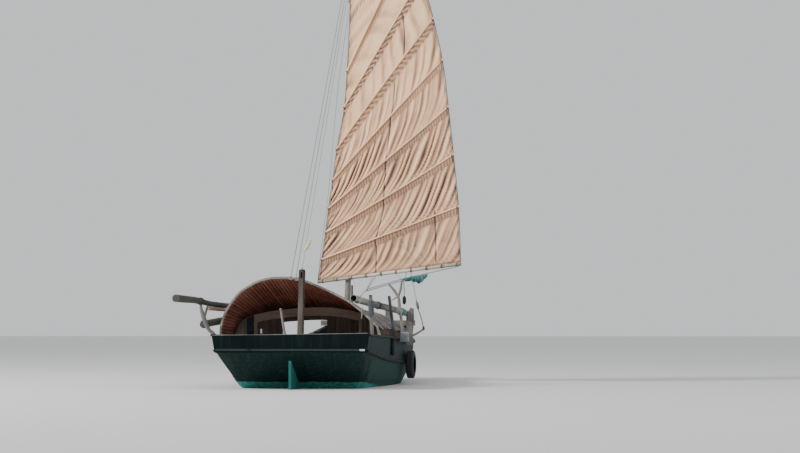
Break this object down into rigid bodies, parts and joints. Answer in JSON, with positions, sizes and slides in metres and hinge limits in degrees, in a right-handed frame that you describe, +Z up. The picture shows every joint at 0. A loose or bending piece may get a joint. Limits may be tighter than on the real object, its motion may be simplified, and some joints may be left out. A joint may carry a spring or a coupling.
{
  "type": "chinese junk ship",
  "caption": "Small wooden junk afloat: flat-bottomed hull, arched stern roof, one fan-shaped battened sail swung out on its mast, and a deep rudder on a tall stock.",
  "frame": {"origin": "on the waterline, on the centreline, 4.25 m forward of the transom", "axes": "+Y towards the bow, +X to starboard, +Z up along the mast"},
  "size_m": [4.0712, 9.5514, 11.2091],
  "materials": {
    "hull_paint": "weathered green-black paint over teal antifouling",
    "rail_paint": "weathered dark blue-grey paint",
    "strip_paint": "worn pale grey paint",
    "teal_paint": "worn teal paint",
    "grey_wood": "bare weathered timber",
    "pale_wood": "bare pale timber",
    "brown_wood": "bare brown timber",
    "roof_hood": "red-brown stained planks inside, weathered grey strips outside",
    "roof_main": "weathered grey strips",
    "dark_wood": "dark stained timber",
    "dark_log": "dark weathered pole",
    "bamboo": "weathered bamboo",
    "sail_cloth": "tan cotton canvas",
    "curtain_cloth": "dark blue cotton",
    "rope": "grey-green polymer rope",
    "tyre": "worn black rubber",
    "can": "faded grey-blue plastic"
  },
  "bodies": {
    "hull": {"hull_lower": "hull_paint", "topside_port": "rail_paint", "gunwale_port": "rail_paint", "strake_port": "hull_paint", "topside_starboard": "rail_paint", "gunwale_starboard": "rail_paint", "strake_starboard": "hull_paint", "deck_planking": "brown_wood", "transom_board": "hull_paint", "transom_strip": "strip_paint", "bow_board": "hull_paint", "bow_beam": "grey_wood", "roof_hood": "roof_hood", "roof_main": "roof_main", "hoop_aft": "pale_wood", "hoop_forward": "pale_wood", "bulkhead_frame": "brown_wood", "bulkhead_wing": "brown_wood", "bulkhead_panel": "dark_wood", "bulkhead_door": "dark_wood", "curtain": "curtain_cloth", "side_board_starboard": "brown_wood", "side_board_port": "brown_wood", "log_starboard": "bamboo", "log_port": "dark_log", "log_port_low": "dark_log", "log_port_under": "brown_wood", "prop_port_aft": "grey_wood", "prop_port_forward": "grey_wood", "rail_post_aft": "grey_wood", "rail_post_mid": "dark_log", "forked_branch": "pale_wood", "rail_crutch": "grey_wood", "outboard_strut": "grey_wood", "tyre_fender": "tyre", "fender_block": "dark_wood", "rail_can": "can", "stick": "pale_wood", "rudder_collar": "grey_wood", "mast": "pale_wood", "mast_partner": "grey_wood", "side_pole": "grey_wood", "stay_port": "rope", "stay_centre": "rope"},
    "sail": {"boom": "bamboo", "yard": "bamboo", "sail_cloth": "sail_cloth", "parrel_boom": "rope", "parrel_yard": "rope", "halyard": "rope", "batten_1": "bamboo", "batten_2": "bamboo", "batten_3": "bamboo", "batten_4": "bamboo", "batten_5": "bamboo", "batten_6": "bamboo", "batten_7": "bamboo"},
    "rudder": {"rudder_stock": "grey_wood", "rudder_head": "grey_wood", "rudder_blade": "teal_paint"}
  },
  "joints": [
    {"name": "sail_swing", "type": "hinge", "parent": "hull", "child": "sail", "pos_m": [-0.06, 1.35, 0.5], "axis": [0.0499, 0, 0.9988], "range_deg": [-45, 20]},
    {"name": "rudder_steer", "type": "hinge", "parent": "hull", "child": "rudder", "pos_m": [0, -3.3, 0], "axis": [0, 0, 1], "range_deg": [-30, 30]}
  ]
}
